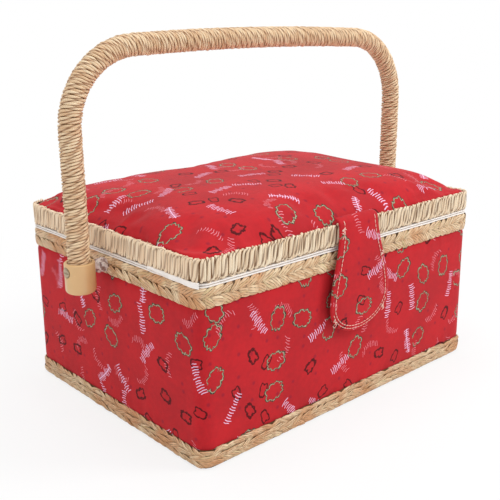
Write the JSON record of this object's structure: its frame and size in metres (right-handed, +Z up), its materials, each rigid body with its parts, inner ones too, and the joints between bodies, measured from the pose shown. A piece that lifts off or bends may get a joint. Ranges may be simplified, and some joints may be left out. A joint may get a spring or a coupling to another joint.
{
  "type": "sewing basket",
  "caption": "Fabric-covered sewing basket with a padded hinged lid, closing flap, straw braid edging, lift-out tray and a cord-wound swing handle.",
  "frame": {"origin": "centre of the rim's rectangle on the underside, at floor level", "axes": "+X along the front to the right, -Y towards the front where the flap hangs, +Z up"},
  "size_m": [0.376, 0.2366, 0.293],
  "materials": {
    "board": "grey-brown rigid board",
    "base_cloth": "plain woven backing cloth",
    "cover_cloth": null,
    "lining_cloth": "cream woven lining",
    "straw_braid": "plaited straw, satin",
    "paper_cord": "two-ply twisted paper cord",
    "edging_tape": "off-white tape",
    "wadding": "polyester wadding",
    "cane": "steam-bent cane",
    "ferrule_plastic": "moulded, satin beige",
    "spacer_plastic": "soft translucent sleeve",
    "pivot_steel": "nickel-plated",
    "snap_metal": "nickel-plated magnetic snap",
    "tray_plastic": "moulded white, fine matt",
    "ledge_board": "board strip faced with lining cloth",
    "cushion_cloth": "red cotton over wadding"
  },
  "bodies": {
    "box": {"base_cover": "base_cloth", "base_board": "board", "wall_board": "board", "inner_liner": "board", "outer_cover": "cover_cloth", "lining": "lining_cloth", "base_braid": "straw_braid", "top_braid": "straw_braid", "body_edging": "edging_tape", "tray_ledge": "ledge_board", "hinge_cloth_lower": "lining_cloth", "pivot_posts": "pivot_steel", "pivot_spacers": "spacer_plastic", "pivot_screws": "pivot_steel", "snap_wall": "snap_metal"},
    "lid": {"lid_rim_core": "board", "lid_rim_winding": "paper_cord", "lid_board": "board", "lid_pad": "wadding", "lid_cover": "cover_cloth", "lid_lining": "lining_cloth", "lid_edging": "edging_tape", "lid_pincushion": "cushion_cloth", "lid_pocket": "lining_cloth", "hinge_cloth_upper": "lining_cloth", "flap_root": "cover_cloth"},
    "flap": {"flap_strap": "cover_cloth", "snap_flap": "snap_metal"},
    "handle": {"handle_core": "cane", "handle_winding": "paper_cord", "ferrule_right": "ferrule_plastic", "ferrule_left": "ferrule_plastic"},
    "tray": {"sewing_tray": "tray_plastic"}
  },
  "joints": [
    {"name": "lid_open", "type": "hinge", "parent": "box", "child": "lid", "pos_m": [0, 0.1145, 0.1338], "axis": [-1, 0, 0], "range_deg": [0, 95]},
    {"name": "handle_swing", "type": "hinge", "parent": "box", "child": "handle", "pos_m": [0, -0.003, 0.1253], "axis": [-1, 0, 0], "range_deg": [0, 114]},
    {"name": "flap_lift", "type": "hinge", "parent": "lid", "child": "flap", "pos_m": [0, -0.1149, 0.1523], "axis": [-1, 0, 0], "range_deg": [0, 100]},
    {"name": "tray_lift", "type": "slide", "parent": "box", "child": "tray", "axis": [0, 0, 1], "range_m": [0, 0.024]}
  ],
  "couplings": [
    {"joint": "handle_swing", "follows": "lid_open", "ratio": 1.2}
  ]
}
